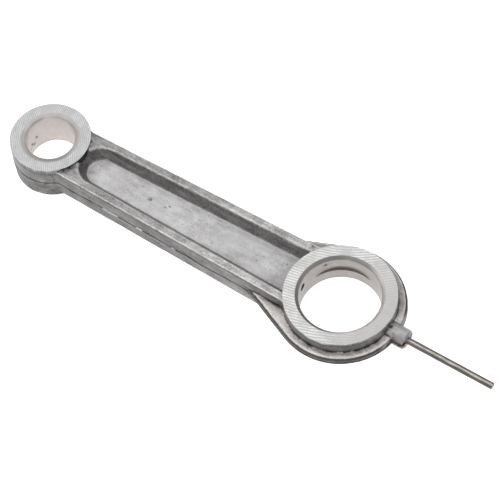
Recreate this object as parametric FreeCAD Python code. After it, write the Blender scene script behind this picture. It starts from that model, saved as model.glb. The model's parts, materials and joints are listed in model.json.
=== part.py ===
import FreeCAD, Part
import math
import os

# Connecting rod of a small air compressor: one aluminium die casting with an I-section
# beam, a crankpin eye and a wrist pin eye, and a steel oil dipper pressed into a lug
# under the crankpin eye. Millimetres. The origin is the centre of the crankpin bore at
# mid-thickness, +X runs along the rod to the wrist pin, +Z is the axis of both bores.
# The mould parts on the plane z = 0, so every cast wall leans inwards away from it.

Vector = FreeCAD.Vector

# Driving dimensions.
CENTRE_DISTANCE = 137.0          # crankpin axis to wrist pin axis
CRANK_BORE_D = 32.0
CRANK_EYE_D = 44.0               # across the machined ring face
CRANK_EYE_WIDTH = 15.0
CRANK_CHAMFER = (1.3, 1.05)      # radial, axial
WRIST_BORE_D = 20.0
WRIST_EYE_D = 32.7
WRIST_EYE_WIDTH = 17.0
WRIST_CHAMFER = (2.1, 0.75)

BEAM_HEIGHT = 14.0
BEAM_HALF_WIDTH = 14.15          # at the crankpin axis, on the top edge
BEAM_NARROWING = 0.0186          # half width lost per millimetre along the rod
BEAM_DRAFT = 0.4                 # how far a side wall stands out at the parting plane
EYE_DRAFT = 0.15
RAIL_WIDTH = 3.0
WEB_THICKNESS = 4.0
POCKET_WALL_RUN = 3.1            # how far a pocket wall leans in between rail and web
POCKET_END_X = 112.5             # centre of the pocket's round end
JUNCTION_RADIUS = 4.0            # blend from beam side to eye

FLANGE_RADIUS = 25.8             # rounded flange round the crankpin eye
FLANGE_THICKNESS = 4.0
FLANGE_START_X = 34.5            # where the flange leaves the side of the beam

LUG_D = 8.0
LUG_END_X = -30.2
DIPPER_D = 2.8
DIPPER_TIP_X = -67.1
DIPPER_SEAT_X = -20.2            # bottom of the blind hole in the lug

GROOVE_WIDTH = 3.2               # oil groove milled in the crankpin bore
GROOVE_CUTTER_R = 14.0
GROOVE_CUTTER_OFFSET = 2.9
GROOVE_DIRECTION = -62.0         # degrees from +X
GROOVE_Z = 0.3
OIL_HOLE_D = 3.2                 # blind drilling in the bore, on the beam side
OIL_HOLE_DEPTH = 3.0
OIL_HOLE_DIRECTION = 7.5
OIL_HOLE_Z = 1.7

RAIL_EDGE_RADIUS = 0.6
POCKET_EDGE_RADIUS = 0.35
WEB_FILLET = 0.8
LUG_END_RADIUS = 1.0
DIPPER_TIP_CHAMFER = 0.35

# Worked out from the dimensions above.
TOP = BEAM_HEIGHT / 2
WEB_TOP = WEB_THICKNESS / 2
TAPER = math.atan(BEAM_NARROWING)
ALONG_SIDE = Vector(math.cos(TAPER), -math.sin(TAPER), 0)
SIDE_NORMAL = Vector(math.sin(TAPER), math.cos(TAPER), 0)
UP = Vector(0, 0, 1)
BURIED = 0.05                    # how deep the beam's round ends lie inside the eyes
CUT_MARGIN = 1.0                 # how far a cutting solid overshoots the surface it opens


def mirrored(point):
    """The same point on the other side of the rod's axis."""
    return Vector(point.x, -point.y, point.z)


def eye_radius(face_d, width, z):
    """Radius of an eye's drafted outer wall at height z."""
    return face_d / 2 + EYE_DRAFT * (1 - z / (width / 2))


def junction_arc(eye_x, radius, half_width, towards):
    """Blend between the beam side and an eye: its ends and middle, on the +Y side."""
    reach = half_width * math.cos(TAPER) + JUNCTION_RADIUS
    eye = Vector(eye_x, 0, 0)
    across = reach - eye.dot(SIDE_NORMAL)
    along = math.sqrt((radius + JUNCTION_RADIUS) ** 2 - across ** 2)
    centre = SIDE_NORMAL * reach + ALONG_SIDE * (eye.dot(ALONG_SIDE) + towards * along)
    on_side = centre - SIDE_NORMAL * JUNCTION_RADIUS
    on_eye = eye + (centre - eye) * (radius / (radius + JUNCTION_RADIUS))
    middle = centre + ((on_side - centre) + (on_eye - centre)).normalize() * JUNCTION_RADIUS
    return on_side, middle, on_eye


def beam_outline(z, side_draft):
    """Closed outline of the beam with a round end inside each eye, at height z."""
    half_width = BEAM_HALF_WIDTH + side_draft
    crank_r = eye_radius(CRANK_EYE_D, CRANK_EYE_WIDTH, z) - BURIED
    wrist_r = eye_radius(WRIST_EYE_D, WRIST_EYE_WIDTH, z) - BURIED
    crank_side, crank_mid, crank_eye = junction_arc(0, crank_r, half_width, 1)
    wrist_side, wrist_mid, wrist_eye = junction_arc(CENTRE_DISTANCE, wrist_r, half_width, -1)
    crank_back = Vector(-crank_r, 0, 0)
    wrist_back = Vector(CENTRE_DISTANCE + wrist_r, 0, 0)
    edges = [
        Part.Arc(mirrored(crank_eye), crank_back, crank_eye).toShape(),
        Part.Arc(crank_eye, crank_mid, crank_side).toShape(),
        Part.LineSegment(crank_side, wrist_side).toShape(),
        Part.Arc(wrist_side, wrist_mid, wrist_eye).toShape(),
        Part.Arc(wrist_eye, wrist_back, mirrored(wrist_eye)).toShape(),
        Part.Arc(mirrored(wrist_eye), mirrored(wrist_mid), mirrored(wrist_side)).toShape(),
        Part.LineSegment(mirrored(wrist_side), mirrored(crank_side)).toShape(),
        Part.Arc(mirrored(crank_side), mirrored(crank_mid), mirrored(crank_eye)).toShape(),
    ]
    wire = Part.Wire(edges)
    wire.translate(UP * z)
    return wire


def pocket_outline(z, inset):
    """Outline of the pocket at height z, its sides set in from the beam's top edge."""
    radius = (BEAM_HALF_WIDTH - inset) * math.cos(TAPER) - POCKET_END_X * math.sin(TAPER)
    centre = Vector(POCKET_END_X, 0, 0)
    tangent = centre + SIDE_NORMAL * radius
    tip = centre + Vector(radius, 0, 0)
    start = Vector(0, BEAM_HALF_WIDTH - inset, 0)
    edges = [
        Part.LineSegment(start, tangent).toShape(),
        Part.Arc(tangent, tip, mirrored(tangent)).toShape(),
        Part.LineSegment(mirrored(tangent), mirrored(start)).toShape(),
        Part.LineSegment(mirrored(start), start).toShape(),
    ]
    wire = Part.Wire(edges)
    wire.translate(UP * z)
    return wire


def edges_at(shape, z):
    """Edges that lie wholly at height z."""
    return [e for e in shape.Edges if all(abs(v.Z - z) < 1e-4 for v in e.Vertexes)
            and abs(e.CenterOfMass.z - z) < 1e-4]


def pocket_cutter():
    """What the mould takes out of one face of the beam, with a filleted floor."""
    lean = POCKET_WALL_RUN / (TOP - WEB_TOP)
    above = TOP + CUT_MARGIN
    floor = pocket_outline(WEB_TOP, RAIL_WIDTH + POCKET_WALL_RUN)
    mouth = pocket_outline(above, RAIL_WIDTH - lean * CUT_MARGIN)
    cutter = Part.makeLoft([floor, mouth], True, True)
    return cutter.makeFillet(WEB_FILLET, edges_at(cutter, WEB_TOP))


def eye_half(x, face_d, width):
    """Upper half of an eye before it is bored."""
    half = width / 2
    cone = Part.makeCone(eye_radius(face_d, width, 0), face_d / 2, half)
    cone.translate(Vector(x, 0, 0))
    return cone


def beam_half():
    """Upper half of the beam, with its pocket and rounded rail edges."""
    body = Part.makeLoft([beam_outline(0, BEAM_DRAFT), beam_outline(TOP, 0)], True, True)
    body = body.makeFillet(RAIL_EDGE_RADIUS, edges_at(body, TOP))
    body = body.cut(pocket_cutter())
    mouth = [e for e in edges_at(body, TOP) if pocket_mouth_edge(e)]
    return body.makeFillet(POCKET_EDGE_RADIUS, mouth)


def pocket_mouth_edge(edge):
    """True for the pocket's long edges and round end, on the rail tops."""
    middle = edge.valueAt((edge.FirstParameter + edge.LastParameter) / 2)
    inner = BEAM_HALF_WIDTH - BEAM_NARROWING * middle.x - RAIL_WIDTH + CUT_MARGIN / 2
    return middle.x > CUT_MARGIN and abs(middle.y) < inner


def flange():
    """Flat flange round the crankpin eye, running out along both sides of the beam."""
    root = Vector(FLANGE_START_X, BEAM_HALF_WIDTH - BEAM_NARROWING * FLANGE_START_X, 0)
    turn = math.atan2(root.y, root.x) + math.acos(FLANGE_RADIUS / root.Length)
    tangent = Vector(math.cos(turn), math.sin(turn), 0) * FLANGE_RADIUS
    back = Vector(-FLANGE_RADIUS, 0, 0)
    edges = [
        Part.LineSegment(root, tangent).toShape(),
        Part.Arc(tangent, back, mirrored(tangent)).toShape(),
        Part.LineSegment(mirrored(tangent), mirrored(root)).toShape(),
        Part.LineSegment(mirrored(root), root).toShape(),
    ]
    plate = Part.Face(Part.Wire(edges)).extrude(UP * FLANGE_THICKNESS)
    plate.translate(UP * (-FLANGE_THICKNESS / 2))
    rim = [e for z in (-FLANGE_THICKNESS / 2, FLANGE_THICKNESS / 2) for e in edges_at(plate, z)
           if e.CenterOfMass.x < root.x - CUT_MARGIN]
    return plate.makeFillet(FLANGE_THICKNESS / 2 - BURIED, rim)


def lug():
    """Round lug that carries the dipper, from inside the eye out to its rounded end."""
    start_x = -CRANK_BORE_D / 2 - CUT_MARGIN
    bar = Part.makeCylinder(LUG_D / 2, start_x - LUG_END_X, Vector(start_x, 0, 0), Vector(-1, 0, 0))
    end = [e for e in bar.Edges if abs(e.CenterOfMass.x - LUG_END_X) < 1e-4 and e.Closed]
    return bar.makeFillet(LUG_END_RADIUS, end)


def bore_cutter(x, bore_d, width, chamfer):
    """Bore through an eye with a chamfer at both faces."""
    radial, axial = chamfer
    half = width / 2
    tool = Part.makeCylinder(bore_d / 2, width + 2 * CUT_MARGIN, Vector(0, 0, -half - CUT_MARGIN))
    flare = radial / axial * CUT_MARGIN
    cone = Part.makeCone(bore_d / 2, bore_d / 2 + radial + flare, axial + CUT_MARGIN,
                         Vector(0, 0, half - axial))
    tool = tool.fuse([cone, cone.mirror(Vector(0, 0, 0), UP)])
    tool.translate(Vector(x, 0, 0))
    return tool


def groove_cutter():
    """Disc milling cutter moved sideways into the crankpin bore: a crescent groove."""
    turn = math.radians(GROOVE_DIRECTION)
    centre = Vector(math.cos(turn), math.sin(turn), 0) * GROOVE_CUTTER_OFFSET
    centre.z = GROOVE_Z - GROOVE_WIDTH / 2
    return Part.makeCylinder(GROOVE_CUTTER_R, GROOVE_WIDTH, centre)


def oil_hole_cutter():
    """Blind drilling in the wall of the crankpin bore, with a drill-point bottom."""
    turn = math.radians(OIL_HOLE_DIRECTION)
    outward = Vector(math.cos(turn), math.sin(turn), 0)
    start = outward * (CRANK_BORE_D / 2 - CUT_MARGIN)
    start.z = OIL_HOLE_Z
    length = OIL_HOLE_DEPTH + CUT_MARGIN
    shank = Part.makeCylinder(OIL_HOLE_D / 2, length, start, outward)
    point = Part.makeCone(OIL_HOLE_D / 2, 0, OIL_HOLE_D / 4, start + outward * length, outward)
    return shank.fuse(point)


def dipper():
    """Steel oil dipper: a straight pin from the bottom of its hole to its free tip."""
    length = DIPPER_SEAT_X - DIPPER_TIP_X
    pin = Part.makeCylinder(DIPPER_D / 2, length, Vector(DIPPER_SEAT_X, 0, 0), Vector(-1, 0, 0))
    tip = [e for e in pin.Edges if abs(e.CenterOfMass.x - DIPPER_TIP_X) < 1e-4 and e.Closed]
    return pin.makeChamfer(DIPPER_TIP_CHAMFER, tip)


def dipper_hole():
    """Blind hole in the lug that the dipper fills."""
    length = DIPPER_SEAT_X - LUG_END_X + CUT_MARGIN
    return Part.makeCylinder(DIPPER_D / 2, length, Vector(DIPPER_SEAT_X, 0, 0), Vector(-1, 0, 0))


def casting():
    """The whole casting, machined."""
    crank_eye = eye_half(0, CRANK_EYE_D, CRANK_EYE_WIDTH)
    wrist_eye = eye_half(CENTRE_DISTANCE, WRIST_EYE_D, WRIST_EYE_WIDTH)
    upper = beam_half().fuse([crank_eye, wrist_eye])
    lower = upper.mirror(Vector(0, 0, 0), UP)
    blank = upper.fuse([lower, flange(), lug()])
    tools = [
        bore_cutter(0, CRANK_BORE_D, CRANK_EYE_WIDTH, CRANK_CHAMFER),
        bore_cutter(CENTRE_DISTANCE, WRIST_BORE_D, WRIST_EYE_WIDTH, WRIST_CHAMFER),
        groove_cutter(),
        oil_hole_cutter(),
        dipper_hole(),
    ]
    return blank.cut(tools).removeSplitter()


def single_solid(name, shape):
    """The one solid of a finished shape."""
    solids = shape.Solids
    if len(solids) != 1 or not solids[0].isValid():
        raise ValueError(f"{name}: {len(solids)} solids")
    print(f"{name}: volume {solids[0].Volume:.1f} mm3, {len(solids[0].Faces)} faces")
    return solids[0]


os.makedirs("parts", exist_ok=True)
nodes = {"rod_casting": casting(), "oil_dipper": dipper()}
for node, shape in nodes.items():
    single_solid(node, shape).exportStep(f"parts/{node}.step")
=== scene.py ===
import json
import math

import bmesh
import bpy
import numpy as np
from mathutils import Matrix, Vector


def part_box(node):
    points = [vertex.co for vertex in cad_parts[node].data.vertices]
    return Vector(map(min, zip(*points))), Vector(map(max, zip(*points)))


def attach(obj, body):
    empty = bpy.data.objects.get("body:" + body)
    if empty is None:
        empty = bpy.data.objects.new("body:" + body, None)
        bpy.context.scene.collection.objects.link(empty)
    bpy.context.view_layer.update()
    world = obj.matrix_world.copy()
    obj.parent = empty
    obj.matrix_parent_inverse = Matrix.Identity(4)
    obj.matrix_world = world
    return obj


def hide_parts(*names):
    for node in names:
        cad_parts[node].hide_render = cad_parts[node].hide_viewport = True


# The looks of an air compressor's connecting rod: a die-cast aluminium rod with milled eye
# faces and bored holes, and the drawn steel oil dipper pressed into its lug.
# Mesh work is in millimetres in the CAD frame, and a mesh goes to metres when it is made.

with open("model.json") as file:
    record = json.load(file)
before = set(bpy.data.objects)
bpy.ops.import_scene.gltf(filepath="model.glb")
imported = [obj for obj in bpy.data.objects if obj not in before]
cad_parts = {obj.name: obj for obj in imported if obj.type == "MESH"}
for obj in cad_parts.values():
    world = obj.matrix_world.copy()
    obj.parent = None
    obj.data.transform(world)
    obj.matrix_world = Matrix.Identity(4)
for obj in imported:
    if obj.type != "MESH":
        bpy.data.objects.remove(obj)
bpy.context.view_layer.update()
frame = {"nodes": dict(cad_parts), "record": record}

MM = 0.001
MOUNTS = {m["name"]: m for m in frame["record"]["mounts"]}


def node_box(name):
    """Lowest and highest corner of a CAD node in millimetres."""
    low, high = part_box(name)
    return np.array(low) / MM, np.array(high) / MM


# ------------------------------------------------------------------ places from the frame
ROD_LOW, ROD_HIGH = node_box("rod_casting")
PIN_LOW, PIN_HIGH = node_box("oil_dipper")
CRANK = np.array(MOUNTS["crankpin_bore"]["pos_m"]) / MM
WRIST = np.array(MOUNTS["wrist_pin_bore"]["pos_m"]) / MM
CRANK_BORE_R = MOUNTS["crankpin_bore"]["dims"]["r_mm"]
WRIST_BORE_R = MOUNTS["wrist_pin_bore"]["dims"]["r_mm"]
CRANK_FACE_Z = MOUNTS["crank_face_upper"]["pos_m"][2] / MM
WRIST_FACE_Z = ROD_HIGH[2]
WRIST_EYE_R = ROD_HIGH[0] - WRIST[0]
CRANK_EYE_R = CRANK_BORE_R + 6.0
WEB_Z = 2.0
CHAMFER_RUN = 1.35
WRIST_CHAMFER_RUN = 2.25
# The flange lies beside the beam's wall, round the lug's end and below its own top.
FLANGE_ASIDE_Y = 13.2
FLANGE_FRONT_X = -14.0
FLANGE_END_X = 36.0
FLANGE_TOP_Z = 2.7
# The pockets' walls lie inside OUTER_WALL_Y and their floors inside POCKET_FLOOR_Y.
OUTER_WALL_Y = 10.6
POCKET_FLOOR_Y = 8.2
POCKET_END_X = 118.0

# ------------------------------------------------------------------ fineness of the meshes
GRID_PITCH = 2.0
COARSE_SIZE = 1.2
SEAM_SIZE = 0.42
LEDGE_SIZE = 0.32
FINE_SIZE = 0.5
MOST_FACES = 190000
# How strongly thinning leaves fine and coarse skin alone, of 1 for not touched at all.
FINE_HOLD = 0.04
COARSE_HOLD = 0.01
HOLD_FACTOR = 1000.0

# -------------------------------------------------------------------- the casting's skin
SKIN_SWELL = 0.05
SKIN_GRAIN = 0.028
SEAM_DEPTH = 0.22
SEAM_WIDTH = 0.2
SEAM_STEP = 0.14
SEAM_WANDER = 0.42
FLASH_HEIGHT = 0.26
FLASH_RUNS = ((95.5, 103.6), (83.6, 87.1), (67.6, 70.0))
LEDGE_INSET = 0.6
LEDGE_START_X = -24.4
# The cutter's arcs on the milled faces: centre and pitch, on each side of the divide.
CRANK_ARCS = ((32.0, -62.0, 0.0), 1.16)
WRIST_ARCS = ((85.0, -29.0, 0.0), 0.78)
ARCS_DIVIDE_X = 60.0
# Pits and knocks: place, radius and depth.
WEB_PITS = (
    ((88.6, 0.1, WEB_Z), 0.75, 0.3),
    ((81.6, 0.0, WEB_Z), 0.45, 0.32),
    ((80.3, -1.2, WEB_Z), 0.4, 0.26),
    ((55.4, -5.7, WEB_Z), 0.4, 0.16),
    ((56.6, 4.1, WEB_Z), 0.4, 0.16),
    ((71.4, 2.9, WEB_Z), 0.35, 0.14),
    ((94.8, -3.5, WEB_Z), 0.35, 0.14),
    ((27.9, -1.9, WEB_Z), 0.4, 0.16),
    ((37.3, 1.5, WEB_Z), 0.4, 0.16),
    ((38.4, -0.6, WEB_Z), 0.3, 0.14),
    ((36.0, -1.5, WEB_Z), 0.3, 0.14),
    ((26.2, -3.3, WEB_Z), 0.45, 0.18),
    ((29.2, -0.6, WEB_Z), 0.3, 0.12),
    ((82.6, 1.0, WEB_Z), 0.3, 0.16),
    ((87.5, -0.8, WEB_Z), 0.3, 0.16),
    ((89.6, 0.9, WEB_Z), 0.3, 0.14),
    ((62.0, -4.0, -WEB_Z), 0.45, 0.2),
    ((91.0, 3.4, -WEB_Z), 0.4, 0.18),
    ((45.5, 2.2, -WEB_Z), 0.5, 0.2),
)
KNOCKS = (
    ((20.9, -13.1, 7.0), 0.5, 0.25),
    ((19.7, -13.0, 7.0), 0.45, 0.22),
    ((-16.5, -1.3, 7.5), 0.55, 0.22),
    ((12.8, -9.6, 4.0), 0.9, 0.3),
    ((146.9, 1.3, -2.6), 0.8, 0.4),
    ((146.8, -1.9, -1.2), 0.6, 0.3),
    ((146.9, 0.1, -4.0), 0.7, 0.35),
    ((146.5, 3.0, -3.6), 0.5, 0.3),
    ((-22.4, 0.0, 4.3), 0.8, 0.4),
)


# ------------------------------------------------------------------------- noise in space
def smooth_step(t):
    t = np.clip(t, 0.0, 1.0)
    return t * t * (3.0 - 2.0 * t)


def value_noise(points, size, seed):
    """Smooth noise from -1 to 1 at each point, with bumps about size across."""
    side = 64
    lattice = np.random.default_rng(seed).uniform(-1.0, 1.0, (side, side, side))
    place = points / size + 1000.0
    cell = np.floor(place).astype(int)
    share = smooth_step(place - cell)
    total = np.zeros(len(points))
    for corner in np.ndindex(2, 2, 2):
        step = np.array(corner)
        weight = np.prod(np.where(step == 1, share, 1.0 - share), axis=1)
        index = (cell + step) % side
        total += weight * lattice[index[:, 0], index[:, 1], index[:, 2]]
    return total


# ---------------------------------------------------------------------------- mesh arrays
def node_arrays(name):
    """Vertices and triangles of a CAD node, joined where its normals split them."""
    bm = bmesh.new()
    bm.from_mesh(frame["nodes"][name].data)
    bmesh.ops.remove_doubles(bm, verts=bm.verts, dist=2e-6)
    bmesh.ops.triangulate(bm, faces=bm.faces)
    bm.verts.index_update()
    verts = np.array([v.co for v in bm.verts], float) / MM
    tris = np.array([[v.index for v in f.verts] for f in bm.faces])
    bm.free()
    return verts, tris


def turned(rows, shift):
    """Each row of three turned so that its entry at shift comes first."""
    index = (np.arange(3) + shift[:, None]) % 3
    return np.take_along_axis(rows, index, axis=1)


def pieces_one_cut(tris, mids):
    """The two triangles of each one that is cut on a single side."""
    shift = np.argmax(mids >= 0, axis=1)
    a, b, c = turned(tris, shift).T
    m = turned(mids, shift)[:, 0]
    return np.vstack([np.c_[a, m, c], np.c_[m, b, c]])


def pieces_two_cuts(tris, mids, verts):
    """The three triangles of each one that is cut on two sides, by the shorter diagonal."""
    shift = (np.argmin(mids >= 0, axis=1) + 2) % 3
    a, b, c = turned(tris, shift).T
    m, _, n = turned(mids, shift).T
    first = np.linalg.norm(verts[m] - verts[c], axis=1)
    second = np.linalg.norm(verts[b] - verts[n], axis=1)
    short = (first < second)[:, None]
    upper = np.where(short, np.c_[m, b, c], np.c_[m, b, n])
    lower = np.where(short, np.c_[m, c, n], np.c_[b, c, n])
    return np.vstack([np.c_[a, m, n], upper, lower])


def pieces_three_cuts(tris, mids):
    """The four triangles of each one that is cut on every side."""
    a, b, c = tris.T
    k, m, n = mids.T
    return np.vstack([np.c_[a, k, n], np.c_[k, b, m], np.c_[m, c, n], np.c_[k, m, n]])


def split_triangles(verts, tris, choose):
    """Cuts each edge at the share of its length that choose gives, and the triangles on it."""
    count = len(verts)
    ends = np.roll(tris, -1, axis=1)
    keys = np.minimum(tris, ends) * count + np.maximum(tris, ends)
    edges, place = np.unique(keys, return_inverse=True)
    a, b = verts[edges // count], verts[edges % count]
    share = choose(a, b)
    cut = ~np.isnan(share)
    number = np.full(len(edges), -1)
    number[cut] = count + np.arange(cut.sum())
    verts = np.vstack([verts, a[cut] + (b - a)[cut] * share[cut, None]])
    mids = number[place.reshape(keys.shape)]
    cuts = (mids >= 0).sum(axis=1)
    tris = np.vstack([
        tris[cuts == 0],
        pieces_one_cut(tris[cuts == 1], mids[cuts == 1]),
        pieces_two_cuts(tris[cuts == 2], mids[cuts == 2], verts),
        pieces_three_cuts(tris[cuts == 3], mids[cuts == 3]),
    ])
    return verts, tris, int(cut.sum())


def cut_at_plane(verts, tris, axis, level, slack):
    """Cuts the triangles that cross the plane, leaving those that only reach into its slack."""
    height = verts[:, axis] - level
    height[np.abs(height) < slack] = 0.0
    corner = height[tris]
    crossing = (corner.min(axis=1) < 0) & (corner.max(axis=1) > 0)
    if not crossing.any():
        return verts, tris

    def where_cut(a, b):
        low, high = a[:, axis] - level, b[:, axis] - level
        share = low / np.where(low == high, 1.0, low - high)
        apart = (np.abs(low) >= slack) & (np.abs(high) >= slack) & (low * high < 0)
        return np.where(apart, share, np.nan)

    verts, fresh, _ = split_triangles(verts, tris[crossing], where_cut)
    return verts, np.vstack([tris[~crossing], fresh])


def cut_to_grid(verts, tris, pitch):
    """Cuts the mesh along planes across each axis, so that no long thin triangle is left."""
    for axis in range(3):
        low, high = verts[:, axis].min(), verts[:, axis].max()
        for level in np.arange(math.ceil(low / pitch), math.floor(high / pitch) + 1) * pitch:
            verts, tris = cut_at_plane(verts, tris, axis, level, 0.06 * pitch)
    return verts, tris


def cut_to_size(verts, tris, size_at, rounds=7):
    """Halves every edge that is longer than size_at(its middle)."""
    def where_long(a, b):
        length = np.linalg.norm(b - a, axis=1)
        return np.where(length > size_at((a + b) / 2), 0.5, np.nan)

    for _ in range(rounds):
        verts, tris, cuts = split_triangles(verts, tris, where_long)
        if cuts == 0:
            break
    return verts, tris


def face_normals(verts, tris):
    """Area-weighted normal of each triangle."""
    a, b, c = verts[tris[:, 0]], verts[tris[:, 1]], verts[tris[:, 2]]
    return np.cross(b - a, c - a)


def unit(rows):
    return rows / np.maximum(np.linalg.norm(rows, axis=1), 1e-12)[:, None]


def spread(tris, values, count):
    """Sum over its triangles of a value for each vertex."""
    total = np.zeros((count,) + values.shape[1:])
    for k in range(3):
        np.add.at(total, tris[:, k], values)
    return total


def vertex_normals(verts, tris):
    return unit(spread(tris, face_normals(verts, tris), len(verts)))


def hollowness(verts, tris, normals, rounds=3):
    """Depth of each vertex under the surface smoothed over its neighbours: edges are below 0."""
    number = np.maximum(spread(tris, np.ones(len(tris)), len(verts)), 1)[:, None]
    smoothed = verts
    for _ in range(rounds):
        smoothed = spread(tris, smoothed[tris].mean(axis=1), len(verts)) / number
    return ((smoothed - verts) * normals).sum(axis=1)


# ------------------------------------------------------------------ regions of the casting
def radii(points):
    """Distance of each point from the axis of the crank eye and of the wrist eye."""
    return (
        np.hypot(points[:, 0] - CRANK[0], points[:, 1] - CRANK[1]),
        np.hypot(points[:, 0] - WRIST[0], points[:, 1] - WRIST[1]),
    )


def is_bored(points):
    crank, wrist = radii(points)
    return (crank < CRANK_BORE_R + CHAMFER_RUN) | (wrist < WRIST_BORE_R + WRIST_CHAMFER_RUN)


def is_milled(points):
    crank, _ = radii(points)
    height = np.abs(points[:, 2])
    on_crank = (height > CRANK_FACE_Z - 0.05) & (crank < CRANK_EYE_R + 0.2)
    return on_crank | (height > WRIST_FACE_Z - 0.05)


def seam_height(points):
    """Height of the wavy parting line beside each point."""
    flat = points * np.array([1.0, 1.0, 0.0])
    return SEAM_WANDER * value_noise(flat, 8.0, 11) + 0.2 * value_noise(flat, 2.2, 12)


def skin_offset(points):
    """How far the cast skin stands out of the CAD surface."""
    swell = SKIN_SWELL * value_noise(points, 6.5, 1)
    return swell + SKIN_GRAIN * value_noise(points, 2.1, 2)


def flash_share(points):
    """1 on the stubs of flash left standing along the near side's parting line."""
    above = points[:, 2] - seam_height(points)
    share = np.zeros(len(points))
    for start, end in FLASH_RUNS:
        inside = smooth_step((points[:, 0] - start) / 0.6)
        inside = inside * smooth_step((end - points[:, 0]) / 0.6)
        share += inside * (points[:, 1] > 5)
    ragged = np.clip(0.75 + 0.6 * value_noise(points, 1.1, 15), 0.2, 1.0)
    return share * ragged * np.exp(-((above / 0.26) ** 2))


def seam_offset(points, normals):
    """The parting line: a crack, the upper half set back, and stubs of flash."""
    side = smooth_step((0.55 - np.abs(normals[:, 2])) / 0.3)
    above = points[:, 2] - seam_height(points)
    crack = -SEAM_DEPTH * np.exp(-((above / SEAM_WIDTH) ** 2))
    crack *= 0.55 + 0.45 * value_noise(points, 3.1, 14)
    set_back = -SEAM_STEP * smooth_step(above / 0.3 + 0.5) * smooth_step((3.0 - above) / 2.5)
    return side * (crack + set_back + FLASH_HEIGHT * flash_share(points))


def ledge_offset(points):
    """The lug's upper half sits back from its lower half on the near side."""
    x, y, z = points.T
    along = smooth_step((LEDGE_START_X - x) / 0.8)
    over = smooth_step((z - seam_height(points)) / 0.22)
    near = smooth_step((y - 0.6) / 1.6) * smooth_step((5.2 - z) / 2.5)
    return -LEDGE_INSET * along * over * near


def dents(points, marks):
    """Rounded pits at the listed places."""
    total = np.zeros(len(points))
    for place, radius, depth in marks:
        apart = np.linalg.norm(points - np.array(place), axis=1)
        apart = apart * (1.0 + 0.55 * value_noise(points, 0.6, 51))
        total -= depth * np.exp(-((apart / radius) ** 2) * 2.0)
    return total


def burr(points):
    """Tiny raggedness where milled faces end."""
    crank, wrist = radii(points)
    height = np.abs(points[:, 2])
    at_crank = (np.abs(crank - CRANK_EYE_R) < 0.05) & (np.abs(height - CRANK_FACE_Z) < 0.02)
    at_wrist = (np.abs(wrist - WRIST_EYE_R) < 0.3) & (np.abs(height - WRIST_FACE_Z) < 0.02)
    return (at_crank | at_wrist) * 0.07 * value_noise(points, 0.9, 21)


def mesh_size(points):
    """Longest edge wanted at each point of the casting."""
    x, y, z = points.T
    size = np.full(len(points), COARSE_SIZE)
    by_seam = (np.abs(z) < 0.95) & ~is_bored(points)
    size[by_seam] = SEAM_SIZE
    size[(x < LEDGE_START_X + 1.5) & (z > -1.0) & (y > 0)] = LEDGE_SIZE
    for place, radius, _ in WEB_PITS + KNOCKS:
        close = np.linalg.norm(points - np.array(place), axis=1) < radius * 1.6
        size[close] = np.minimum(size[close], radius * 0.3)
    return size


# ------------------------------------------------------------------------ making objects
def sharp_edges(mesh, angle):
    """Marks as sharp the edges where the surface turns by more than the angle."""
    bm = bmesh.new()
    bm.from_mesh(mesh)
    for edge in bm.edges:
        edge.smooth = len(edge.link_faces) == 2 and edge.calc_face_angle(0.0) < angle
    bm.to_mesh(mesh)
    bm.free()


def mesh_object(name, verts, faces, slots, face_slots=None):
    """An object from points in millimetres, with its materials."""
    mesh = bpy.data.meshes.new(name)
    mesh.from_pydata((verts * MM).tolist(), [], faces)
    mesh.polygons.foreach_set("use_smooth", [True] * len(mesh.polygons))
    for material in slots:
        mesh.materials.append(material)
    if face_slots is not None:
        mesh.polygons.foreach_set("material_index", face_slots)
    mesh.update()
    ob = bpy.data.objects.new(name, mesh)
    bpy.context.scene.collection.objects.link(ob)
    return ob


def thin_out(ob, hold, most):
    """Merges the shortest edges away, down to so many faces: least where hold is highest."""
    group = ob.vertex_groups.new(name="free")
    for level in np.unique(hold):
        group.add(np.flatnonzero(hold == level).tolist(), 1.0 - level, "REPLACE")
    thin = ob.modifiers.new("thin", "DECIMATE")
    thin.vertex_group = group.name
    thin.vertex_group_factor = HOLD_FACTOR
    thin.ratio = most / len(ob.data.polygons)
    thin.use_collapse_triangulate = True
    graph = bpy.context.evaluated_depsgraph_get()
    mesh = bpy.data.meshes.new_from_object(
        ob.evaluated_get(graph), preserve_all_data_layers=True, depsgraph=graph)
    ob.modifiers.clear()
    ob.data = mesh


def point_values(mesh, name, values):
    """Stores a number on each vertex for the material to read."""
    layer = mesh.attributes.new(name, "FLOAT", "POINT")
    layer.data.foreach_set("value", values.astype(np.float32))


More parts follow.
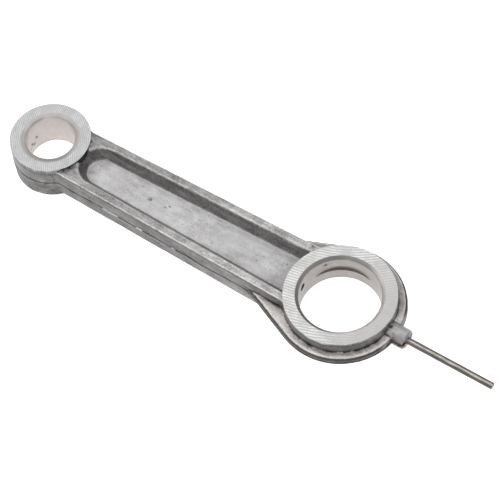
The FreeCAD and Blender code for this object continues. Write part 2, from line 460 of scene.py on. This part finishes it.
# ------------------------------------------------------------------------- material graphs
class Graph:
    """A material's nodes. Values are sockets, numbers or colours."""

    def __init__(self, name):
        self.material = bpy.data.materials.new(name)
        self.material.use_nodes = True
        self.tree = self.material.node_tree
        self.shader = self.tree.nodes["Principled BSDF"]

    def set(self, socket, value):
        if isinstance(value, bpy.types.NodeSocket):
            self.tree.links.new(value, socket)
        else:
            socket.default_value = value

    def node(self, kind, inputs=(), **settings):
        made = self.tree.nodes.new(kind)
        for key, value in settings.items():
            setattr(made, key, value)
        for key, value in dict(inputs).items():
            self.set(made.inputs[key], value)
        return made

    def math(self, operation, first, second=0.0, third=0.0):
        made = self.node("ShaderNodeMath", operation=operation)
        for socket, value in zip(made.inputs, (first, second, third)):
            self.set(socket, value)
        return made.outputs[0]

    def place(self):
        """The point on the piece, in millimetres."""
        coords = self.node("ShaderNodeTexCoord").outputs["Object"]
        scaled = self.node("ShaderNodeVectorMath", {0: coords}, operation="SCALE")
        scaled.inputs["Scale"].default_value = 1.0 / MM
        return scaled.outputs[0]

    def noise(self, place, size, detail=3.0, rough=0.55, distortion=0.0):
        inputs = {
            "Vector": place, "Scale": 1.0 / size, "Detail": detail,
            "Roughness": rough, "Distortion": distortion,
        }
        return self.node("ShaderNodeTexNoise", inputs).outputs["Fac"]

    def value(self, name):
        return self.node("ShaderNodeAttribute", attribute_name=name).outputs["Fac"]

    def span(self, value, low, high, to_low, to_high):
        """value's range low to high carried over to to_low to to_high."""
        made = self.node("ShaderNodeMapRange", clamp=True)
        for socket, number in zip(made.inputs, (value, low, high, to_low, to_high)):
            self.set(socket, number)
        return made.outputs[0]

    def colour(self, share, first, second):
        made = self.node("ShaderNodeMix", data_type="RGBA")
        self.set(made.inputs["Factor"], share)
        self.set(made.inputs["A"], first)
        self.set(made.inputs["B"], second)
        return made.outputs["Result"]

    def shaded(self, colour, amount):
        """The colour made darker or lighter by a number."""
        made = self.node("ShaderNodeVectorMath", {0: colour}, operation="SCALE")
        self.set(made.inputs["Scale"], amount)
        return made.outputs[0]

    def bump(self, height, depth, before=None):
        inputs = {"Height": height, "Distance": depth * MM, "Strength": 1.0}
        made = self.node("ShaderNodeBump", inputs)
        if before is not None:
            self.set(made.inputs["Normal"], before)
        return made.outputs[0]


def rgba(red, green, blue):
    return (red, green, blue, 1.0)


def cast_skin():
    """Die-cast aluminium: satin grey, blotchy, with grain, flow streaks and dark specks."""
    g = Graph("cast_aluminium_skin")
    place = g.place()
    blotch = g.noise(place, 6.0, 4.0, 0.65, 0.6)
    grain = g.noise(place, 0.75, 5.0, 0.7)
    scale = g.node("ShaderNodeVectorMath", {0: place, 1: (0.25, 1.0, 1.0)}, operation="MULTIPLY")
    drawn = scale.outputs[0]
    streaks = g.noise(drawn, 2.4, 4.0, 0.6, 0.3)
    specks = g.span(g.noise(place, 0.55, 2.0, 0.5), 0.6, 0.7, 0.0, 1.0)
    dull = g.span(g.math("ADD", blotch, g.math("ADD", grain, streaks)), 1.2, 1.8, 0.0, 1.0)
    colour = g.colour(dull, rgba(0.28, 0.267, 0.262), rgba(0.66, 0.648, 0.642))
    washed = g.colour(g.span(g.math("ADD", streaks, blotch), 0.75, 1.2, 0.0, 1.0),
                      rgba(0.50, 0.485, 0.488), rgba(0.63, 0.63, 0.642))
    colour = g.colour(g.value("washed"), colour, washed)
    colour = g.colour(g.value("warm"), colour, g.colour(dull, rgba(0.44, 0.41, 0.40),
                                                        rgba(0.64, 0.605, 0.59)))
    specks = g.math("MULTIPLY", specks, g.span(g.value("washed"), 0.0, 1.0, 0.55, 0.12))
    # tone holds painted shade and painted highlight as well as the skin's own lightness.
    tone = g.math("MULTIPLY", g.value("tone"), g.math("SUBTRACT", 1.0, specks))
    colour = g.shaded(colour, tone)
    # Painted highlight along rounded edges, mixed with rubbed metal on convex edges and flash
    # stubs.
    wear_and_highlight = g.math("MULTIPLY", g.value("wear_and_highlight"), g.span(grain, 0.35, 0.6, 0.45, 1.0))
    colour = g.colour(wear_and_highlight, colour, rgba(0.95, 0.94, 0.93))
    g.set(g.shader.inputs["Base Color"], colour)
    g.shader.inputs["Metallic"].default_value = 0.88
    g.set(g.shader.inputs["Roughness"], g.span(grain, 0.3, 0.7, 0.48, 0.34))
    height = g.bump(streaks, 0.22)
    g.set(g.shader.inputs["Normal"], g.bump(grain, 0.12, height))
    return g.material


def arc_marks(g, place, centre, pitch):
    """Waves across the arcs that a wide cutter leaves, from 0 to 1."""
    away = g.node("ShaderNodeVectorMath", {0: place, 1: centre}, operation="DISTANCE")
    wobble = g.math("MULTIPLY", g.noise(place, 2.6, 2.0), 0.5 * pitch)
    turns = g.math("DIVIDE", g.math("ADD", away.outputs["Value"], wobble), pitch / math.tau)
    return g.span(g.math("SINE", turns), -1.0, 1.0, 0.0, 1.0)


def milled_face():
    """The eyes' end faces: bright, with the cutter's arcs, coarse at the crank eye."""
    g = Graph("milled_aluminium")
    place = g.place()
    coarse = arc_marks(g, place, *CRANK_ARCS)
    fine = arc_marks(g, place, *WRIST_ARCS)
    along = g.node("ShaderNodeSeparateXYZ", {0: place}).outputs["X"]
    at_wrist = g.math("GREATER_THAN", along, ARCS_DIVIDE_X)
    marks = g.math("ADD", g.math("MULTIPLY", fine, at_wrist),
                   g.math("MULTIPLY", coarse, g.math("SUBTRACT", 1.0, at_wrist)))
    patch = g.noise(place, 5.5, 3.0)
    grain = g.noise(place, 0.35, 4.0, 0.7)
    fade = g.span(patch, 0.35, 0.6, 0.3, 1.0)
    broken = g.span(g.noise(place, 1.1, 3.0), 0.35, 0.6, 0.65, 1.0)
    strength = g.math("MULTIPLY", g.span(along, -16.0, -1.0, 0.2, 1.0), fade)
    line = g.math("MULTIPLY", g.math("MULTIPLY", marks, strength), broken)
    tint = g.colour(at_wrist, rgba(0.34, 0.335, 0.33), rgba(0.34, 0.346, 0.35))
    bright = g.colour(at_wrist, rgba(0.90, 0.895, 0.89), rgba(0.74, 0.745, 0.75))
    colour = g.colour(g.span(line, 0.0, 0.75, 0.4, 1.0), tint, bright)
    colour = g.shaded(colour, g.span(grain, 0.3, 0.7, 0.9, 1.06))
    g.set(g.shader.inputs["Base Color"], colour)
    g.shader.inputs["Metallic"].default_value = 0.8
    g.set(g.shader.inputs["Roughness"], g.span(grain, 0.3, 0.7, 0.42, 0.3))
    height = g.bump(line, 0.035)
    g.set(g.shader.inputs["Normal"], g.bump(grain, 0.02, height))
    return g.material


def bored_wall():
    """Bore walls and chamfers: fine turning rings, warm, with painted shade, brown, in the oil
    groove.
    """
    g = Graph("bored_aluminium")
    place = g.place()
    high = g.node("ShaderNodeSeparateXYZ", {0: place}).outputs["Z"]
    rings = g.math("SINE", g.math("MULTIPLY", high, math.tau / 0.42))
    patch = g.noise(place, 4.0, 4.0, 0.6)
    grain = g.noise(place, 0.5, 4.0, 0.65)
    line = g.math("MULTIPLY", g.span(rings, -1.0, 1.0, 0.0, 1.0), patch)
    colour = g.colour(patch, rgba(0.66, 0.615, 0.59), rgba(0.82, 0.775, 0.75))
    lined = g.span(line, 0.0, 0.6, 0.93, 1.05)
    # tone holds the bores' painted light and painted shade.
    colour = g.shaded(colour, g.math("MULTIPLY", g.value("tone"), lined))
    # The stain value is painted shade in the oil groove, in this dark brown.
    colour = g.colour(g.value("stain"), colour, rgba(0.34, 0.30, 0.265))
    g.set(g.shader.inputs["Base Color"], colour)
    g.shader.inputs["Metallic"].default_value = 0.7
    g.set(g.shader.inputs["Roughness"], g.span(grain, 0.3, 0.7, 0.46, 0.32))
    height = g.bump(line, 0.02)
    g.set(g.shader.inputs["Normal"], g.bump(grain, 0.02, height))
    return g.material


def drawn_steel():
    """The dipper: darker steel with lengthwise drawing lines and faint stains."""
    g = Graph("drawn_steel")
    place = g.place()
    squeezed = g.node("ShaderNodeVectorMath", {0: place, 1: (0.06, 1.0, 1.0)},
                      operation="MULTIPLY")
    lines = g.noise(squeezed.outputs[0], 0.28, 3.0, 0.6)
    stain = g.noise(place, 2.2, 4.0, 0.6)
    colour = g.colour(g.span(lines, 0.35, 0.65, 0.0, 1.0),
                      rgba(0.40, 0.365, 0.335), rgba(0.58, 0.545, 0.515))
    mottled = g.span(stain, 0.3, 0.7, 0.8, 1.1)
    # tone holds the pin's painted highlight line.
    colour = g.shaded(colour, g.math("MULTIPLY", mottled, g.value("tone")))
    g.set(g.shader.inputs["Base Color"], colour)
    g.shader.inputs["Metallic"].default_value = 0.95
    g.set(g.shader.inputs["Roughness"], g.span(stain, 0.3, 0.7, 0.42, 0.28))
    g.set(g.shader.inputs["Normal"], g.bump(lines, 0.02))
    return g.material


def floor_paper():
    """Plain white sweep."""
    g = Graph("floor_paper")
    place = g.place()
    pale = g.colour(g.noise(place, 40.0, 2.0), rgba(0.93, 0.93, 0.93), rgba(0.95, 0.95, 0.95))
    g.set(g.shader.inputs["Base Color"], pale)
    g.shader.inputs["Roughness"].default_value = 0.9
    g.shader.inputs["Emission Color"].default_value = rgba(1.0, 1.0, 1.0)
    g.shader.inputs["Emission Strength"].default_value = 0.75
    return g.material


# ------------------------------------------------------------------------- the two pieces
def on_flange(points):
    """1 on the flange round the crank eye and down the beam's foot."""
    aside = (np.abs(points[:, 1]) > FLANGE_ASIDE_Y) | (points[:, 0] < FLANGE_FRONT_X)
    before_end = smooth_step((FLANGE_END_X - points[:, 0]) / 1.5)
    return aside * before_end * smooth_step((FLANGE_TOP_Z - np.abs(points[:, 2])) / 0.4)


def edge_wear_and_highlight(points, normals, hollow):
    """Brighter metal along edges: a painted highlight on the rails' and the flange's rounded
    edges, picked by how they tilt, and partly rubbed metal, partly painted highlight on convex
    edges and flash stubs.
    """
    tilt = np.abs(normals[:, 2])
    height = np.abs(points[:, 2])
    on_rail = smooth_step((tilt - 0.35) / 0.2) * smooth_step((0.98 - tilt) / 0.06)
    on_rail *= smooth_step((height - 6.2) / 0.3)
    on_flange_edge = smooth_step((tilt - 0.84) / 0.07) * smooth_step((0.985 - tilt) / 0.05)
    on_flange_edge *= on_flange(points)
    standing = smooth_step((-hollow - 0.05) / 0.16)
    edge = np.maximum(np.maximum(on_rail, 1.3 * on_flange_edge), standing)
    patchy = 0.85 + 0.3 * value_noise(points, 4.0, 41) + 0.25 * value_noise(points, 1.3, 42)
    return np.clip(edge * patchy + flash_share(points), 0.0, 1.0)


def washed_floor(points):
    """1 on the web inside the pockets, where the skin is paler and bluish."""
    on_web = smooth_step((WEB_Z + 0.35 - np.abs(points[:, 2])) / 0.3)
    inside = smooth_step((POCKET_FLOOR_Y - np.abs(points[:, 1])) / 1.5)
    start = smooth_step((points[:, 0] - CRANK_EYE_R) / 2.0)
    lug = smooth_step((LEDGE_START_X + 1.0 - points[:, 0]) / 1.0)
    web = on_web * inside * start * (0.75 + 0.45 * value_noise(points, 9.0, 43))
    return np.clip(web + lug, 0.0, 1.0)


def web_patches(points):
    """A pale patch on the web near the crank eye; the web darker beside the eye and towards the
    pocket walls, lighter towards the wrist eye.
    """
    x, y, z = points.T
    on_web = smooth_step((WEB_Z + 0.3 - z) / 0.3) * (z > 1.0) * (np.abs(y) < 9.0)
    ragged = 0.35 * value_noise(points, 2.5, 49)
    patch = smooth_step(1.9 - 1.4 * np.hypot((x - 38.0) / 10.0, (y - 0.6) / 4.6) + ragged)
    beside_eye = smooth_step((29.0 - x) / 5.0 + ragged) * (x > CRANK_EYE_R)
    edges = smooth_step((np.abs(y) - 4.6) / 1.6 + ragged)
    toward_wrist = smooth_step((x - 50.0) / 20.0)
    return on_web * (0.04 * patch - 0.18 * beside_eye - 0.1 * edges + 0.08 * toward_wrist)


def skin_tone(points, normals, hollow):
    """Lightness of the cast skin, much of it painted shade and painted highlight: steep walls
    painted darker than level faces, creases, pits and the line under the rails' edges painted
    dark, the flange's rim painted darker, a painted highlight on the lug, and the parting line
    dark.
    """
    # Painted shade by facing: steep walls darker than level faces, and the pocket end walls
    # lighter.
    level = smooth_step((np.abs(normals[:, 2]) - 0.25) / 0.6)
    outer = smooth_step((np.abs(points[:, 1]) - OUTER_WALL_Y) / 0.8)
    end_wall = 0.35 * np.abs(normals[:, 0]) * (1.0 - outer) * (points[:, 0] < POCKET_END_X)
    tone = (0.15 + 0.25 * outer + end_wall) * (1.0 - level) + level
    above_web = smooth_step(np.abs(points[:, 2]) - 4.0)
    toward_wrist = smooth_step((points[:, 0] - 45.0) / 40.0) * above_web
    tone *= 1.0 - 0.26 * toward_wrist * level
    near_rail = smooth_step(points[:, 1] / 6.0) * above_web
    tone *= 1.0 + 0.14 * near_rail * level
    flange = on_flange(points)
    # Painted shade: the flange's rounded rim darker where it turns down, and the whole flange
    # darker on the far side.
    rim = smooth_step((np.abs(normals[:, 2]) - 0.83) / 0.14)
    far = smooth_step((-4.0 - points[:, 1]) / 8.0)
    tone = tone * (1.0 - flange) + flange * (0.2 + 1.22 * rim)
    tone *= 1.0 - 0.58 * flange * far
    tone *= 1.0 + web_patches(points)
    # Painted shade: a dark line on the outer walls just under the rails' rounded top edges.
    under_edge = np.exp(-(((points[:, 2] - 5.9) / 0.4) ** 2)) * outer * (1.0 - level)
    tone *= 1.0 - 0.4 * under_edge
    lug = smooth_step((LEDGE_START_X + 1.0 - points[:, 0]) / 1.0)
    # Painted highlight on the lug's crown, and its level faces painted lighter.
    crown = smooth_step((np.abs(normals[:, 2]) - 0.8) / 0.18) * (points[:, 1] < 2.2)
    lug_tone = 0.42 + 0.25 * level + 0.24 * crown + 0.14 * value_noise(points, 1.2, 47)
    tone = tone * (1.0 - lug) + lug * lug_tone
    above = points[:, 2] - seam_height(points)
    crack = np.exp(-((above / 0.28) ** 2)) * (np.abs(points[:, 2]) < 1.5)
    crack *= np.clip(0.95 + 0.6 * value_noise(points, 2.7, 45), 0.0, 1.0)
    tone *= 1.0 - 0.85 * crack * (1.0 - level)
    blotches = value_noise(points * np.array([0.4, 1.0, 1.0]), 1.7, 46) * (1.0 - level) * outer
    tone *= 1.0 + 0.22 * blotches
    low_foot = smooth_step((-1.0 - points[:, 2]) / 1.0) * outer * (1.0 - level)
    tone *= 1.0 + low_foot * (0.22 - 0.42 * smooth_step((points[:, 0] - 50.0) / 25.0))
    # Painted shade in creases and hollows.
    tone *= 1.0 - 0.75 * smooth_step((hollow - 0.015) / 0.16)
    # Painted shade in the pits and knocks.
    tone *= 1.0 + 2.6 * dents(points, WEB_PITS + KNOCKS)
    return np.clip(tone, 0.08, 1.7)


def bore_tone(points):
    """The crank bore is duller than the wrist bore and than its chamfer towards the lug, which
    is painted lighter; the wrist chamfer's near side is painted darker, and the chamfers' lower
    edges get a painted dark line.
    """
    crank, _ = radii(points)
    chamfer = smooth_step((np.abs(points[:, 2]) - CRANK_FACE_Z + 1.1) / 0.2)
    inside = crank < CRANK_BORE_R + CHAMFER_RUN
    # Painted light: the crank chamfer lighter towards the lug.
    toward_lug = smooth_step((-points[:, 0] - 1.0) / 9.0)
    # Painted shade on the wrist chamfer's near side.
    near_side = smooth_step(points[:, 1] / 6.0) * smooth_step((np.abs(points[:, 2]) - 7.6) / 0.2)
    tone = np.where(inside, 0.56 + chamfer * (0.9 * toward_lug - 0.12), 0.84 - 0.16 * near_side)
    # Painted shade: a dark line along each chamfer's lower edge.
    corner = np.where(inside, CRANK_FACE_Z - 1.05, WRIST_FACE_Z - 0.75)
    line = np.exp(-(((np.abs(points[:, 2]) - corner) / 0.3) ** 2))
    line *= np.clip(0.6 + 0.7 * value_noise(points, 3.0, 48), 0.0, 1.0)
    tone *= 1.0 - 0.45 * line
    # Painted shade in the knocks.
    return np.clip(tone * (1.0 + 2.6 * dents(points, KNOCKS)), 0.1, 1.6)


def bore_groove_shade(points):
    """Painted shade, dark brown, in the crank bore's oil groove and holes."""
    crank, _ = radii(points)
    groove = (crank > CRANK_BORE_R + 0.04) & (np.abs(points[:, 2]) < CRANK_FACE_Z - 1.5)
    return groove * (crank < CRANK_BORE_R + 4.0) * 0.55


def casting():
    verts, tris = node_arrays("rod_casting")
    verts, tris = cut_to_grid(verts, tris, GRID_PITCH)
    verts, tris = cut_to_size(verts, tris, mesh_size)
    normals = vertex_normals(verts, tris)
    centres = verts[tris].mean(axis=1)
    flat = np.abs(unit(face_normals(verts, tris))[:, 2]) > 0.95
    slots = np.where(is_milled(centres) & flat, 1, np.where(is_bored(centres), 2, 0))
    free = ~(is_bored(verts) | is_milled(verts))
    offset = skin_offset(verts) + seam_offset(verts, normals)
    offset = (offset + ledge_offset(verts)) * free
    offset += dents(verts, WEB_PITS + KNOCKS) + burr(verts)
    moved = np.clip(verts + normals * offset[:, None], ROD_LOW, ROD_HIGH)
    ob = mesh_object("rod_casting_look", verts, tris.tolist(),
                     [cast_skin(), milled_face(), bored_wall()], slots)
    sharp_edges(ob.data, math.radians(32))
    ob.data.vertices.foreach_set("co", (moved * MM).ravel())
    hollow = hollowness(moved, tris, vertex_normals(moved, tris))
    # The tone values hold painted shade and painted highlight as well as the metal's own
    # lightness.
    tone = np.where(is_bored(verts), bore_tone(verts), skin_tone(verts, normals, hollow))
    point_values(ob.data, "tone", tone)
    # Painted highlight along rounded edges, partly rubbed metal.
    point_values(ob.data, "wear_and_highlight", edge_wear_and_highlight(verts, normals, hollow) * free)
    point_values(ob.data, "warm", on_flange(verts))
    point_values(ob.data, "washed", washed_floor(verts))
    # The stain values are painted shade in the crank bore's oil groove.
    point_values(ob.data, "stain", bore_groove_shade(verts))
    ob.data.update()
    hold = np.where(mesh_size(verts) < FINE_SIZE, FINE_HOLD, COARSE_HOLD)
    thin_out(ob, np.where(free, hold, 1.0), MOST_FACES)
    return ob


def dipper_tone(points):
    """The steel is dark, with a painted highlight line along its top and its underside, and its
    far side painted a little lighter.
    """
    around = np.degrees(np.arctan2(np.abs(points[:, 2]), points[:, 1]))
    wander = 3.0 * value_noise(points * np.array([0.1, 0.0, 0.0]), 0.6, 33)
    # Painted highlight along the pin at about 75 degrees round from its near side.
    line = np.exp(-(((around - 75.0 + wander) / 15.0) ** 2))
    # The far side painted a little lighter.
    far_side = smooth_step((around - 95.0) / 20.0)
    return 0.25 + 1.15 * line + 0.1 * far_side


def dipper_stations(radius):
    """Place along the pin and radius of each ring, from the chamfered tip to the seat."""
    step, tip = 0.7, 0.35
    start, length = PIN_LOW[0], PIN_HIGH[0] - PIN_LOW[0] - tip
    count = int(length / step)
    stations = [(start, radius - tip), (start + 0.12, radius - 0.2), (start + tip, radius)]
    return stations + [(start + tip + k * length / count, radius) for k in range(1, count + 1)]


def turned_mesh(stations, first, last, sides):
    """Vertices and faces of a closed turned bar, with its two end points."""
    angles = np.arange(sides) * math.tau / sides
    verts = [(first, 0.0, 0.0)]
    for x, r in stations:
        verts += [(x, r * math.cos(a), r * math.sin(a)) for a in angles]
    verts.append((last, 0.0, 0.0))
    end = 1 + (len(stations) - 1) * sides
    faces = []
    for k in range(sides):
        j = (k + 1) % sides
        faces.append((0, 1 + j, 1 + k))
        for base in range(1, end, sides):
            faces.append((base + k, base + j, base + sides + j, base + sides + k))
        faces.append((len(verts) - 1, end + k, end + j))
    return np.array(verts), faces


def dipper():
    """The pin turned from its profile, slightly uneven along its length."""
    radius = (PIN_HIGH[2] - PIN_LOW[2]) / 2
    stations = dipper_stations(radius)
    verts, faces = turned_mesh(stations, PIN_LOW[0] + 0.03, PIN_HIGH[0], 56)
    uneven = 0.02 + 0.02 * value_noise(verts * np.array([0.2, 1.0, 1.0]), 0.6, 31)
    verts[:, 1:] *= (1.0 - uneven / radius)[:, None]
    ob = mesh_object("oil_dipper_look", verts, faces, [drawn_steel()])
    # The tone values hold a painted highlight along the pin.
    point_values(ob.data, "tone", dipper_tone(verts))
    sharp_edges(ob.data, math.radians(28))
    return ob


rod = casting()
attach(rod, "root")
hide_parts("rod_casting")

pin = dipper()
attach(pin, "root")
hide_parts("oil_dipper")


# --------------------------------------------------------------------- floor, light, camera
FLOOR_HALF = 15000.0
AIM = (50.0, 0.0, 0.0)


def floor():
    corners = ((-1, -1, 0), (1, -1, 0), (1, 1, 0), (-1, 1, 0))
    verts = np.array(corners) * FLOOR_HALF
    verts[:, 2] = ROD_LOW[2] - 0.02
    return mesh_object("floor", verts, [(0, 1, 2, 3)], [floor_paper()])


def soft_light(name, place, aim, size, power):
    """A square softbox that faces the aim point. Places are in millimetres."""
    data = bpy.data.lights.new(name, "AREA")
    data.size = size * MM
    data.energy = power
    ob = bpy.data.objects.new(name, data)
    ob.location = Vector(place) * MM
    facing = Vector(aim) - Vector(place)
    ob.rotation_euler = facing.to_track_quat("-Z", "Y").to_euler()
    bpy.context.scene.collection.objects.link(ob)
    return ob


def studio_world(horizon, above):
    """A pale room whose walls are dimmer near the horizon."""
    world = bpy.data.worlds.new("studio")
    world.use_nodes = True
    nodes, links = world.node_tree.nodes, world.node_tree.links
    direction = nodes.new("ShaderNodeTexCoord").outputs["Generated"]
    split = nodes.new("ShaderNodeSeparateXYZ")
    links.new(direction, split.inputs[0])
    ramp = nodes.new("ShaderNodeMapRange")
    ramp.interpolation_type = "SMOOTHSTEP"
    for socket, number in zip(ramp.inputs[1:5], (0.0, 0.55, horizon, above)):
        socket.default_value = number
    links.new(split.outputs["Z"], ramp.inputs["Value"])
    links.new(ramp.outputs[0], nodes["Background"].inputs["Strength"])
    nodes["Background"].inputs["Color"].default_value = rgba(1.0, 1.0, 1.0)
    bpy.context.scene.world = world


def photo_camera():
    """The photograph's viewpoint: a long lens, tilted a little about its own axis."""
    elevation, azimuth, roll = math.radians(58.113), math.radians(218.663), math.radians(-5.890)
    distance, aim, lens = 841.207, Vector((42.946, -2.030, 0.0)), 155.749
    back = Vector((math.sin(azimuth) * math.cos(elevation),
                   -math.cos(azimuth) * math.cos(elevation), math.sin(elevation)))
    right = (-back).cross(Vector((0, 0, 1))).normalized()
    up = right.cross(-back)
    across = math.cos(roll) * right + math.sin(roll) * up
    upward = -math.sin(roll) * right + math.cos(roll) * up
    data = bpy.data.cameras.new("photo_camera")
    data.lens = lens
    data.clip_start = 0.01
    ob = bpy.data.objects.new("photo_camera", data)
    turn = Matrix((across, upward, back)).transposed().to_4x4()
    ob.matrix_world = Matrix.Translation((aim + back * distance) * MM) @ turn
    bpy.context.scene.collection.objects.link(ob)
    bpy.context.scene.camera = ob


floor()
soft_light("overhead", (350.0, -370.0, 770.0), AIM, 1400.0, 2.9)
soft_light("front", (300.0, 880.0, 680.0), AIM, 900.0, 1.7)
soft_light("side", (-750.0, -250.0, 560.0), AIM, 700.0, 0.35)
studio_world(0.16, 0.6)
photo_camera()
bpy.context.scene.view_settings.view_transform = "Standard"
